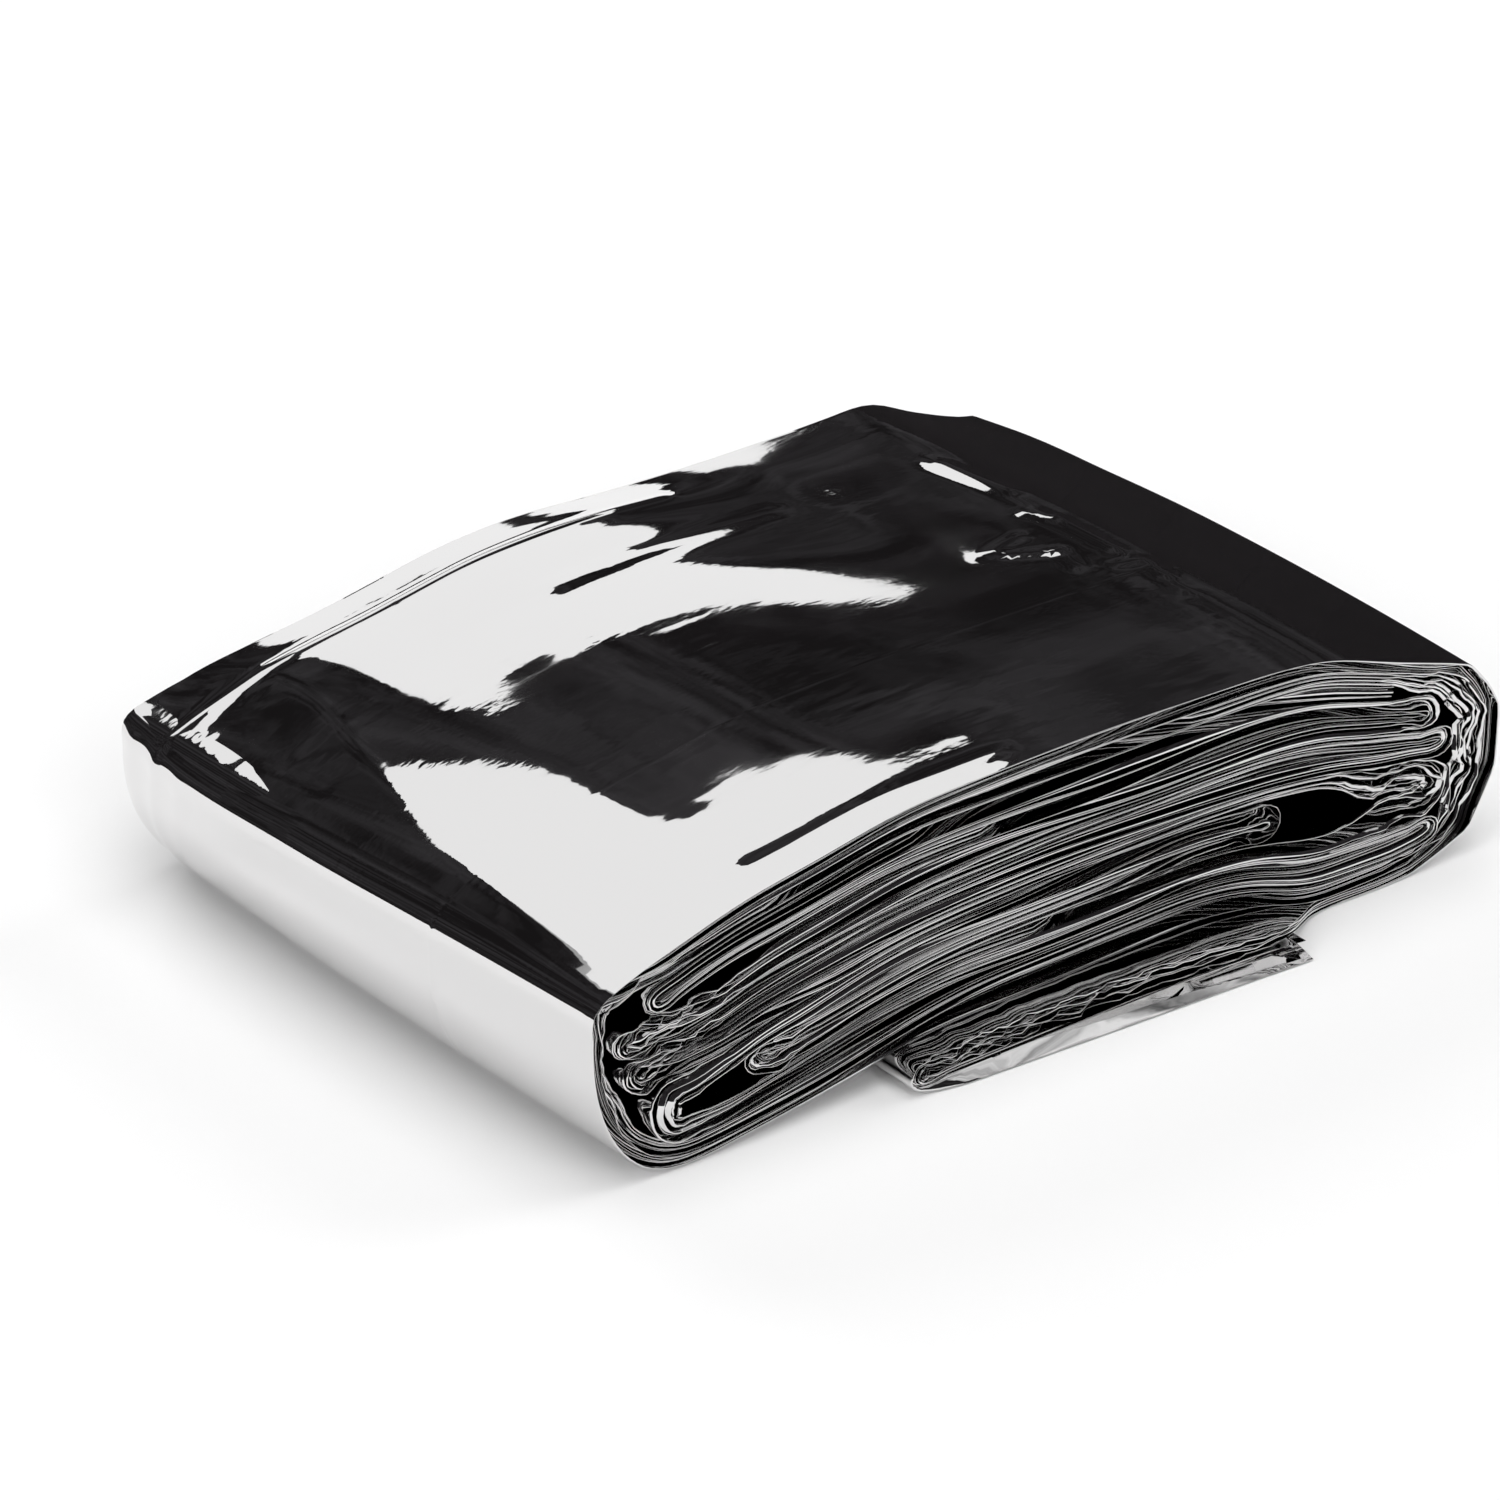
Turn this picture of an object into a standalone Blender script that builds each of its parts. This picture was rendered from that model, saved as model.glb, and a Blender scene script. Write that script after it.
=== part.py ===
"""A foil emergency blanket, folded into a flat many-layered bundle.

The blanket is one strip of packed film, folded back and forth inside two
turns of its own wrap, with its loose tail turned under the bundle.
X runs along the bundle's length, Y across the strip and Z upwards.
The path of the strip is worked out in millimetres, u along X from the left
end and v up from the ground, at the layered front end (the -Y side).
"""

import math

import bmesh
import bpy

MM = 0.001

# The bundle and the strip that it is folded from
LENGTH = 125.5
STRIP_WIDTH = 89.0
STRIP_THICKNESS = 1.1
PITCH = 1.7  # from one layer of the wrap to the next
GROUND = STRIP_THICKNESS / 2

# Outermost turn of the wrap, anticlockwise from where the tail leaves it.
# Columns: u, v of the strip's mid-surface.
WRAP = (
    # bottom right
    (98.0, 0.60),
    (105.0, GROUND),
    (112.5, GROUND),
    # right end
    (117.0, 1.1),
    (120.4, 2.6),
    (122.6, 5.4),
    (123.8, 9.0),
    (124.6, 13.4),
    (124.6, 17.6),
    (123.2, 20.4),
    (121.0, 22.8),
    # top
    (117.5, 24.5),
    (109.0, 27.5),
    (99.0, 31.0),
    (92.0, 31.7),
    (84.0, 32.0),
    (72.0, 32.4),
    (60.0, 32.6),
    (50.0, 32.5),
    (42.0, 32.3),
    (36.5, 31.8),
    (30.5, 30.3),
    (20.0, 28.8),
    (14.0, 27.2),
    (7.0, 25.1),
    (2.6, 23.6),
    # left side
    (0.9, 22.2),
    (0.55, 18.5),
    (0.75, 14.0),
    (1.7, 9.6),
    (3.6, 5.4),
    (6.2, 2.3),
    (9.0, 0.8),
    # bottom left, and the arch over the tail
    (13.0, GROUND),
    (20.0, 1.4),
    (30.0, 2.7),
    (40.0, 4.3),
    (50.0, 5.5),
    (62.0, 5.75),
    (74.0, 5.65),
    (82.0, 5.0),
    (90.0, 3.3),
)

# The rows of that table where each side of the bundle starts
RIGHT_FROM = 3
TOP_FROM = 10
LEFT_FROM = 26
BOTTOM_FROM = 33

# Where the last run of the wrap would meet the right end: u, v
LAST_RUN_END = (118.0, 5.2)

# Where a turn passes inside the turn before it
DEPTH_RISES_FROM_U = 66.0
DEPTH_RISES_TO_U = 90.0
TURNS = 2

# Loose tail under the bundle. Columns: u, v, pull (how far the strip is
# pulled out past the front end).
TAIL = (
    (92.5, GROUND, 8.2),
    (84.0, GROUND, 7.6),
    (72.0, GROUND, 6.8),
    (60.0, GROUND, 5.8),
    (50.0, GROUND, 5.3),
    (41.2, GROUND, 4.8),
    (39.8, 0.85, 4.7),
    (39.3, 1.55, 4.6),
    (39.7, 2.25, 4.5),
    (41.2, 2.65, 4.4),
    (50.0, 2.55, 4.4),
    (60.0, 2.75, 4.3),
    (72.0, 2.55, 4.4),
    (82.0, 2.60, 3.6),
    (88.0, 2.60, 2.2),
    (93.5, 2.15, 0.9),
)

# The folds inside the wrap, from the lowest layer up, each as far as its
# U-turns. Columns: left (u of its left end), right (u of its right end).
LAYERS = (
    (9.0, 115.0),
    (11.0, 115.0),
    (23.0, 114.6),
    (23.0, 92.0),
    (11.0, 92.0),
    (6.2, 114.6),
    (6.2, 117.0),
    (5.6, 117.0),
    (5.6, 115.0),
    (9.0, 115.0),
    (9.0, 110.0),
)

# The order in which the strip runs through those layers, alternately
# leftwards and rightwards; layer 0 is the wrap's own last run.
ORDER = (1, 4, 3, 2, 5, 6, 7, 8, 9, 10)

# Hollows between two layers. Columns: below (number of the layer under
# it), u of its middle, half_width, extra (in shares of one layer).
HOLLOWS = (
    (8, 16.0, 9.0, 1.2),
    (2, 14.0, 14.0, 0.5),
    (3, 100.0, 13.0, 0.6),
    (9, 74.0, 34.0, 0.25),
    (5, 62.0, 40.0, 0.35),
    (0, 48.0, 22.0, 0.3),
)

# Waves in the packed layers. Columns: u of the middle, half_width, height,
# wavelength.
CRUMPLES = (
    (112.0, 14.0, 0.28, 8.5),
    (22.0, 10.0, 0.25, 7.0),
    (66.0, 60.0, 0.22, 37.0),
)

# Height of the bundle at the back end as a share of that at the front.
# Columns: u, share.
BACK_HEIGHT = (
    (0.0, 0.880),
    (20.0, 0.830),
    (42.0, 0.865),
    (60.0, 0.860),
    (78.0, 0.840),
    (96.0, 0.905),
    (110.0, 0.840),
    (125.0, 0.820),
)

# How the bundle changes from front to back, with a crease where its top
# falls away towards the back end. Columns: across (0 at the front, 1 at the
# back), droop (share of the change in height), left_in and right_in (how far
# the two sides lie inwards).
ACROSS = (
    (0.00, 0.00, 0.0, 0.0),
    (0.18, -0.08, -0.4, -0.2),
    (0.36, -0.12, -0.7, -0.5),
    (0.54, -0.05, -0.8, -0.7),
    (0.72, 0.12, -0.5, -0.6),
    (0.89, 0.38, 0.2, 0.0),
    (1.00, 1.00, 1.6, 1.0),
)


def smooth(share):
    share = min(1.0, max(0.0, share))
    return share * share * (3.0 - 2.0 * share)


def bump(u, middle, half_width):
    """1 at the middle, falling smoothly to 0 at the half width."""
    return smooth(1.0 - abs(u - middle) / half_width)


def between(table, x, column):
    """Value of a column at x in the first column, on straight lines."""
    if x <= table[0][0]:
        return table[0][column]
    for low, high in zip(table, table[1:]):
        if x <= high[0]:
            share = (x - low[0]) / (high[0] - low[0])
            return low[column] + share * (high[column] - low[column])
    return table[-1][column]


def inward(index):
    """Unit vector into the bundle at a point of the wrap."""
    before = WRAP[index - 1]
    after = WRAP[(index + 1) % len(WRAP)]
    du = after[0] - before[0]
    dv = after[1] - before[1]
    length = math.hypot(du, dv)
    return -dv / length, du / length


def wrap_turn(turn):
    """Points of one turn of the wrap, each turn a pitch inside the last."""
    points = []
    for index, (u, v) in enumerate(WRAP):
        depth = float(turn)
        if index > len(WRAP) / 2 and v < 8.0:
            reach = DEPTH_RISES_TO_U - DEPTH_RISES_FROM_U
            depth += smooth((u - DEPTH_RISES_FROM_U) / reach)
        nu, nv = inward(index)
        points.append((u + PITCH * depth * nu, v + PITCH * depth * nv))
    return points


def layer_height(number, u, floor, ceiling):
    """Height of a layer at u: its share of the room inside the wrap."""
    low = between(floor, u, 1)
    high = between(ceiling, u, 1)
    count = len(LAYERS)
    room = [1.0] * count
    for below, middle, half_width, extra in HOLLOWS:
        room[below] += extra * bump(u, middle, half_width)
    share = sum(room[:number]) / sum(room)
    height = low + (high - low) * share
    inside = 4.0 * share * (1.0 - share)
    for middle, half_width, rise, wavelength in CRUMPLES:
        wave = math.sin(2.0 * math.pi * (u - middle) / wavelength + number * 0.35)
        height += inside * rise * bump(u, middle, half_width) * wave
    return height


def run(number, start_u, end_u, floor, ceiling, steps):
    """Points of one layer from start to end."""
    points = []
    for step in range(steps + 1):
        u = start_u + (end_u - start_u) * step / steps
        points.append((u, layer_height(number, u, floor, ceiling)))
    return points


def u_turn(start, end, outward):
    """Points of a fold between the ends of two layers, without its ends."""
    middle = (start[1] + end[1]) / 2.0
    radius = abs(end[1] - start[1]) / 2.0
    steps = 4 if radius < 1.4 else 7
    reach = outward * radius * (1.0 if radius < 1.4 else 0.8)
    points = []
    for step in range(1, steps):
        angle = math.pi * step / steps
        share = (1.0 - math.cos(angle)) / 2.0
        u = start[0] + (end[0] - start[0]) * share + reach * math.sin(angle)
        v = middle - (end[1] - start[1]) / 2.0 * math.cos(angle)
        points.append((u, v))
    return points


def strip_path():
    """Points (u, v, pull) of the strip's mid-surface, from its loose tail."""
    path = list(TAIL)
    turns = [wrap_turn(turn) for turn in range(TURNS)]
    for turn in turns:
        path += [(u, v, 0.0) for u, v in turn]
    last = turns[-1]
    ceiling = sorted(last[TOP_FROM:LEFT_FROM])
    # the last run goes on along the bottom right to its own U-turn
    floor = sorted(last[BOTTOM_FROM:])
    floor += [(u, v + PITCH * TURNS) for u, v in WRAP[:RIGHT_FROM]]
    floor.append(LAST_RUN_END)
    end_u = LAYERS[0][1]
    last_run = [(u, v) for u, v in floor if last[-1][0] < u < end_u]
    last_run.append((end_u, between(floor, end_u, 1)))
    path += [(u, v, 0.0) for u, v in last_run]
    outward = 1.0
    for place, number in enumerate(ORDER):
        left, right = LAYERS[number]
        leftwards = outward > 0
        start_u, end_u = (right, left) if leftwards else (left, right)
        start = (start_u, layer_height(number, start_u, floor, ceiling))
        path += [(u, v, 0.0) for u, v in u_turn(path[-1], start, outward)]
        steps = 9 if abs(right - left) > 80 else 7
        points = run(number, start_u, end_u, floor, ceiling, steps)
        path += [(u, v, 0.0) for u, v in points]
        outward = -outward
    return path


def lengths_along(path):
    """Distance along the strip at each of its points."""
    along = [0.0]
    for before, after in zip(path, path[1:]):
        along.append(along[-1] + math.hypot(after[0] - before[0], after[1] - before[1]))
    return along


def place(point, along, row):
    """Where a point of the strip lies, in metres."""
    u, v, pull = point
    across, droop, left_in, right_in = ACROSS[row]
    change = (between(BACK_HEIGHT, u, 1) - 1.0) * droop
    scale = 1.0 + change * smooth((v - 4.0) / 6.0)
    to_right = smooth(u / LENGTH)
    edge = 0.7 * math.sin(along / 47.0 + 0.6) + 0.5 * math.sin(along / 19.0)
    waver = (across - 0.5) * 2.0 * (0.4 * math.sin(along / 31.0) - 0.4)
    x = u - LENGTH / 2.0 + left_in * (1.0 - to_right) - right_in * to_right
    y = (across - 0.5) * (STRIP_WIDTH - 2.0) + edge + waver - pull
    z = GROUND + (v - GROUND) * scale
    return x * MM, y * MM, z * MM


def stand_at_origin(sheet):
    """Centres the sheet over the origin; its heights stay as they are."""
    xs = [vertex.co.x for vertex in sheet.verts]
    ys = [vertex.co.y for vertex in sheet.verts]
    middle = ((min(xs) + max(xs)) / 2.0, (min(ys) + max(ys)) / 2.0, 0.0)
    bmesh.ops.translate(sheet, vec=[-part for part in middle], verts=sheet.verts)


def clear_scene():
    for old in list(bpy.data.objects):
        bpy.data.objects.remove(old)


def foil_material():
    material = bpy.data.materials.new("Silver film")
    material.use_nodes = True
    shader = material.node_tree.nodes["Principled BSDF"]
    shader.inputs["Base Color"].default_value = (0.86, 0.86, 0.87, 1.0)
    shader.inputs["Metallic"].default_value = 1.0
    shader.inputs["Roughness"].default_value = 0.14
    return material


def build_blanket(collection):
    path = strip_path()
    along = lengths_along(path)
    sheet = bmesh.new()
    stations = len(path)
    bmesh.ops.create_grid(
        sheet,
        x_segments=stations - 1,
        y_segments=len(ACROSS) - 1,
        size=0.5,
    )
    for vertex in sheet.verts:
        station = round((vertex.co.x + 0.5) * (stations - 1))
        row = round((vertex.co.y + 0.5) * (len(ACROSS) - 1))
        vertex.co = place(path[station], along[station], row)
    stand_at_origin(sheet)
    bmesh.ops.recalc_face_normals(sheet, faces=sheet.faces)
    mesh = bpy.data.meshes.new("blanket")
    sheet.to_mesh(mesh)
    sheet.free()
    mesh.materials.append(foil_material())
    blanket = bpy.data.objects.new("blanket", mesh)
    collection.objects.link(blanket)
    thicken = blanket.modifiers.new("Strip thickness", "SOLIDIFY")
    thicken.thickness = STRIP_THICKNESS * MM
    thicken.offset = 0.0
    thicken.use_even_offset = True
    thicken.use_quality_normals = True
    return blanket


def main():
    clear_scene()
    collection = bpy.data.collections.new("foil_blanket_folded")
    bpy.context.scene.collection.children.link(collection)
    build_blanket(collection)


main()
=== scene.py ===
"""A folded emergency foil blanket: one sheet of silver film.

The film is pleated across into a strip of many layers, and the strip is
folded back and forth inside two turns of its own wrap. The path of the strip
is worked out in millimetres, u along X from the left end and v up from the
ground, at the layered front end (the -Y side).
"""

import math

import bpy
import mathutils
import numpy as np
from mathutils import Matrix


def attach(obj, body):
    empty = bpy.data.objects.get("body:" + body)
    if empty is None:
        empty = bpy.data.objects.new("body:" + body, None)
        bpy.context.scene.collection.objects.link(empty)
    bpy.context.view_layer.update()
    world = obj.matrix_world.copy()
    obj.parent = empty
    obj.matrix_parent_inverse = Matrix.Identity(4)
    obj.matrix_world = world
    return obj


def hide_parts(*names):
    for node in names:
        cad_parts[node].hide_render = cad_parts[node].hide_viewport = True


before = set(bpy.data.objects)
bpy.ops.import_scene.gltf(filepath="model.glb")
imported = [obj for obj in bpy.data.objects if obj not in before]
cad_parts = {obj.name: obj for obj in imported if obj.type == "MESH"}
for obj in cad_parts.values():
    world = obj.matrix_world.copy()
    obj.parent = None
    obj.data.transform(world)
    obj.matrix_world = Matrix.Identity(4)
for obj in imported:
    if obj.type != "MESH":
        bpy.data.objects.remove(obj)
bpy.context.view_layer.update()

MM = 0.001

# ---------------------------------------------------------------- the strip

LENGTH = 125.5
STRIP_WIDTH = 89.0
END_MARGIN = 1.0
HALF_WIDTH = STRIP_WIDTH / 2 - END_MARGIN
STRIP_THICKNESS = 1.1
PITCH = 1.7
GROUND = STRIP_THICKNESS / 2

# Shift that brings the bundle with its tail to the middle of the frame: x, y
TO_ORIGIN = (0.225, 3.108)

# Outermost turn of the wrap, anticlockwise from where the tail leaves it.
# Columns: u, v of the strip's mid-surface.
WRAP = (
    # bottom right
    (98.0, 0.60),
    (105.0, GROUND),
    (112.5, GROUND),
    # right end
    (117.0, 2.0),
    (120.9, 3.6),
    (122.6, 6.6),
    (124.4, 10.0),
    (124.6, 13.4),
    (124.7, 17.4),
    (123.2, 20.2),
    (120.6, 23.4),
    # top
    (117.5, 24.6),
    (109.0, 27.5),
    (99.0, 31.0),
    (92.0, 31.7),
    (84.0, 32.0),
    (72.0, 32.4),
    (60.0, 32.6),
    (50.0, 32.5),
    (42.0, 32.3),
    (36.5, 31.55),
    (30.5, 30.45),
    (20.0, 28.8),
    (14.0, 27.2),
    (7.0, 25.1),
    (2.6, 23.6),
    # left side
    (0.9, 22.2),
    (0.55, 18.5),
    (0.75, 14.0),
    (1.7, 9.6),
    (3.6, 5.4),
    (6.2, 2.3),
    (9.0, 0.8),
    # bottom left, and the arch over the tail
    (13.0, GROUND),
    (20.0, 1.4),
    (30.0, 2.7),
    (40.0, 4.3),
    (50.0, 5.5),
    (62.0, 5.75),
    (74.0, 5.65),
    (82.0, 5.0),
    (90.0, 3.3),
)

# The rows of that table where each side of the bundle starts
RIGHT_FROM = 3
TOP_FROM = 10
LEFT_FROM = 26
BOTTOM_FROM = 33

# Where the last run of the wrap would meet the right end: u, v
LAST_RUN_END = (118.0, 5.2)

# Where a turn passes inside the turn before it, on the underside: start and
# length of the rise along u, and the height below which that holds
DEPTH_RISES = (66.0, 24.0)
DEPTH_RISES_BELOW_V = 8.0
TURNS = 2

# Loose tail under the bundle. Columns: u, v, pull (how far the strip is
# pulled out past the front end).
TAIL = (
    (92.5, 1.35, 8.2),
    (84.0, 1.30, 7.4),
    (72.0, 1.20, 6.3),
    (60.0, 1.10, 5.4),
    (50.0, 1.02, 4.9),
    (42.2, 1.05, 4.5),
    (40.6, 1.50, 4.3),
    (40.0, 2.20, 4.2),
    (40.6, 2.90, 4.1),
    (42.2, 3.30, 4.0),
    (50.0, 3.40, 4.0),
    (60.0, 3.60, 4.5),
    (72.0, 3.60, 5.3),
    (82.0, 3.45, 6.0),
    (88.0, 3.10, 6.1),
    (93.5, 2.45, 4.6),
)

# The folds inside the wrap, from the lowest layer up, each as far as its
# U-turns. Columns: left (u of its left end), right (u of its right end).
LAYERS = (
    (9.0, 115.0),
    (11.0, 115.0),
    (23.0, 114.6),
    (23.0, 92.0),
    (11.0, 92.0),
    (6.2, 114.6),
    (6.2, 117.0),
    (5.6, 117.0),
    (5.6, 115.0),
    (9.0, 115.0),
    (9.0, 110.0),
)

# The order in which the strip runs through those layers, alternately
# leftwards and rightwards; layer 0 is the wrap's own last run.
ORDER = (1, 4, 3, 2, 5, 6, 7, 8, 9, 10)

# Hollows between two layers. Columns: below (number of the layer under
# it), u of its middle, half_width, extra (in shares of one layer).
HOLLOWS = (
    (8, 16.0, 9.0, 1.2),
    (2, 14.0, 14.0, 0.5),
    (3, 100.0, 13.0, 0.6),
    (9, 74.0, 34.0, 0.25),
    (5, 62.0, 40.0, 0.35),
    (0, 48.0, 22.0, 0.3),
)

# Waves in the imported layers. Columns: u of the middle, half_width, height,
# wavelength.
CRUMPLES = (
    (112.0, 14.0, 0.28, 8.5),
    (22.0, 10.0, 0.25, 7.0),
    (66.0, 60.0, 0.22, 37.0),
)

# How far each layer's waves are shifted against those below, in radians
CRUMPLE_SHIFT = 0.35

# Folds between two layers: the widest that is a plain half round, how far a
# wider one reaches out for its radius, and the steps round each kind
HALF_ROUND_RADIUS = 1.4
WIDE_FOLD_REACH = 0.8
HALF_ROUND_STEPS = 4
WIDE_FOLD_STEPS = 7

# Points along a layer: the least number, and how far apart they lie
LEAST_LAYER_POINTS = 8
LAYER_POINTS_APART = 3.0

# Height of the bundle at the back end as a share of that at the front.
# Columns: u, share.
BACK_HEIGHT = (
    (0.0, 0.930),
    (4.0, 0.890),
    (20.0, 0.800),
    (34.0, 0.795),
    (53.0, 0.820),
    (68.0, 0.790),
    (84.0, 0.780),
    (97.0, 0.795),
    (104.0, 0.830),
    (111.0, 0.800),
    (118.0, 0.785),
    (125.0, 0.830),
)

# How the bundle changes from front to back, with a crease where its top
# falls away towards the back end, stronger on the left. Columns: across (0 at
# the front, 1 at the back), left_droop and right_droop (shares of the change
# in height), left_in and right_in (how far the two sides lie inwards).
ACROSS = (
    (0.00, 0.00, 0.00, 0.0, 0.0),
    (0.18, -0.02, -0.02, -0.4, -0.2),
    (0.36, 0.04, 0.05, -0.7, -0.5),
    (0.54, 0.16, 0.20, -0.8, -0.7),
    (0.72, 0.34, 0.44, -0.5, -0.6),
    (0.895, 0.60, 0.72, 0.2, 0.0),
    (1.00, 1.00, 1.00, 1.6, 1.0),
)

# Where the left droop gives way to the right one: start and length along u
DROOP_TURNS = (60.0, 24.0)

# Start and length along v of the rise in which the change in height sets in
HEIGHT_CHANGES = (4.0, 6.0)

# The bundle's crest: its middle and half width along u, start and length along
# v of the rise in which it starts to lean, and how far it leans to the right
# towards the back end. Columns: across, lean.
CREST = (101.0, 34.0)
LEAN_RISES = (12.0, 14.0)
CREST_LEAN = (
    (0.00, 0.0),
    (0.55, -0.5),
    (0.78, 0.0),
    (0.92, 1.6),
    (1.00, 3.6),
)

# How far the left shoulder sinks, and how wide a slope falls to it from u
# rightwards. Columns: across, sink, width. The slope bends in a share of its
# length, and the sinking sets in over a start and length along v.
SHOULDER_U = 1.0
SHOULDER_BEND = 0.12
SINK_RISES = (8.0, 12.0)
SHOULDER = (
    (0.00, 0.0, 3.0),
    (0.30, 0.9, 6.0),
    (0.60, 2.0, 11.0),
    (0.87, 2.4, 15.0),
    (1.00, 0.8, 12.0),
)

# ----------------------------------------------------------------- the film

# Rows of the mesh along the strip, and how far apart its fine points lie
STATIONS = 1040
FINE_STEP = 0.15

# Columns across the dense outer skin, and the first and last one's places as
# shares of the half width
SKIN_COLUMNS = 116
SKIN_ENDS = (0.985, -0.97)

# How far the strip's path is smoothed along it: near folds, on the runs
# between them, and on the wrap's faceted right end
FOLD_BLUR = 0.35
RUN_BLUR = 2.6
FACET_BLUR = 0.4

# What counts as near a fold: the curvature, reach and strength
FOLD_CURVATURE = 0.22
FOLD_REACH = 2.2
FOLD_STRENGTH = 3.0

# Where the wrap is faceted, and over what reach that fades
FACETED_FROM_U = 112.0
FACETED_REACH = 2.0

# How close the rows lie, in shares: anywhere, closer for bends (smoothed, up to
# the sharpest that counts) and for tangles, and at least on the outer skin
ROWS_ANYWHERE = 0.50
ROWS_FOR_BENDS = 2.2
SHARPEST_BEND = 1.5
BEND_BLUR = 4
ROWS_FOR_TANGLES = 1.1
LEAST_ROWS_ON_SKIN = 0.80

# Uneven lines are sums of waves, each shorter and weaker than the one before,
# with a length (for the wavelength asked) and a start (in radians) drawn from
# these ranges; the sum is divided by the last number
WAVES = 3
WAVE_LENGTHS = (0.7, 1.5)
WAVE_STARTS = (0.0, 6.28)
WAVE_SHORTER = 1.6
WAVE_WEAKER = 1.5
WAVE_SUM = 1.7

# Values that wander along the strip; the first is a power of e. Columns: seed,
# usual value, how far it wanders, wavelength.
FOLD_THICKENS = (0, 0.0, 1.30, 150.0)
GAP_WIDENS = (20, 1.0, 0.30, 70.0)
FOLDS_TANGLE = (60, 0.0, 0.20, 6.5)
FOLD_TANGLES = (80, 0.0, 0.06, 4.0)
FOLDS_LIE_BACK = (70, -0.35, 1.6, 230.0)
FOLD_STRAYS = (100, 0.0, 1.0, 120.0)
FOLD_CRUMPLES = (120, 0.0, 1.3, 7.0)
EDGE_STRAYS = (30, 0.0, 0.55, 90.0)
BAND_SAGS = (61, 0.0, 0.5, 23.0)

# A fold's section: a narrow round tip low on it, and a slope that falls back
# from the tip to its upper side. Sizes in millimetres, slopes as depth for
# height. The first three wander, with columns as above; the tip's radius is at
# most a share of the fold's thickness.
TIP_SHARE = (700, 0.34, 0.10, 60.0)
TIP_RADIUS = (730, 0.135, 0.070, 45.0)
UPPER_SLOPE = (760, 0.66, 0.24, 65.0)
LOWER_SLOPE = 1.6
TIP_DEPTH = 0.35
WIDEST_TIP_SHARE = 0.45

# Half the strip's thickness: the least and the most where something lies
# beside it, how far the most stays above the least, and the half where nothing
# lies beside it: on the outer side, in the tail, and on the inner side (as a
# share of the most)
LEAST_HALF = 0.30
MOST_HALF = 1.05
MOST_ABOVE_LEAST = 0.12
FREE_HALF = 0.55
TAIL_FREE_HALF = 0.92
INNER_FREE_SHARE = 0.8

# The tail's lower run: the height it lies below, its gap to the ground, and
# the most half thickness there. The tail ends this far before the wrap.
TAIL_LOWER_RUN_V = 1.6
TAIL_GROUND_GAP = 0.08
TAIL_MOST_HALF = 1.4
TAIL_ENDS_BEFORE = 6.0

# The room beside the strip: the step, in fine points, between the places that
# are measured and between those measured to, how near along the strip is the
# strip itself, how far ahead still counts as beside, the least distance, the
# distance given where nothing lies there, and the half from which it is open
ROOM_STEP = 6
ROOM_OTHER_STEP = 3
SAME_STRIP = 3.0
BESIDE = 0.5
LEAST_ROOM = 0.3
NO_ROOM_FOUND = 99.0
OPEN_ROOM = 20.0

# The gap left to a neighbour on each side, and the reach over which the
# thickness follows its lowest place and is then smoothed
LAYER_GAP = 0.03
THIN_REACH = 1.2
THICKNESS_BLUR = 0.9

# Folds that show at an end of the strip, from its outer side in. Columns:
# thick and gap (shares of the strip's thickness taken by the fold and by the
# room up to the next), jut (how far it stands out), stray (how far that varies).
FRONT_FOLDS = (
    (2.4, 1.1, 0.10, 0.12),
    (0.5, 0.9, -7.5, 1.50),
    (1.3, 1.0, -0.45, 0.45),
    (2.1, 1.2, -0.12, 0.22),
    (0.5, 1.1, -8.0, 1.50),
    (1.9, 1.1, -0.20, 0.30),
    (0.9, 0.9, -0.90, 0.80),
    (1.3, 0.9, -0.40, 0.50),
)
BACK_FOLDS = (
    (2.4, 0.6, -0.2, 0.30),
    (0.6, 0.4, -1.0, 0.30),
    (2.8, 0.5, 0.0, 0.30),
    (0.6, 0.4, -1.3, 0.30),
    (2.6, 0.5, -0.1, 0.30),
    (0.5, 0.4, -0.9, 0.30),
    (1.6, 0.6, -0.3, 0.30),
)
FOLDS = len(FRONT_FOLDS) + len(BACK_FOLDS)
FRONT_SEED = 100
BACK_SEED = 400
THICKEST_FOLD = 0.78

# How far a strip's inner folds lie back together in its shaded stretches, and
# how strongly a tangle ends such a stretch
SHADE_DEPTH = 6.0
SHADE_ENDS = 2.0

# Tangled folds come together: how strongly, how far they then lie back, by
# what share they stray less, and the back end's tangle as a share of the front's
COMES_TOGETHER = 1.8
TOGETHER_DEPTH = 0.35
TOGETHER_CALM = 0.7
BACK_TANGLE = 0.5

# The film's ends lie this far in, and stray less by a share in the turns of the
# wrap, which set in and end over a start and length along it
EDGE_IN = 0.2
EDGE_CALM = 0.75
WRAP_SETS_IN = (0.0, 6.0)
WRAP_TURNS_END = (300.0, 20.0)

# In the tail the lowest fold is one broad band that leans forward: its share
# of the thickness, start and length of its end along the strip, how far it
# leans (columns: u, lean), and where its points lie between its two edges
TAIL_BAND_SHARE = 26.0
TAIL_BAND_ENDS = (46.0, 8.0)
TAIL_BAND_LEAN = ((40.0, 0.9), (92.5, 3.4))
TAIL_BAND_POINTS = (0.0, 0.12, 0.86, 0.95, 1.0)

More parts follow.
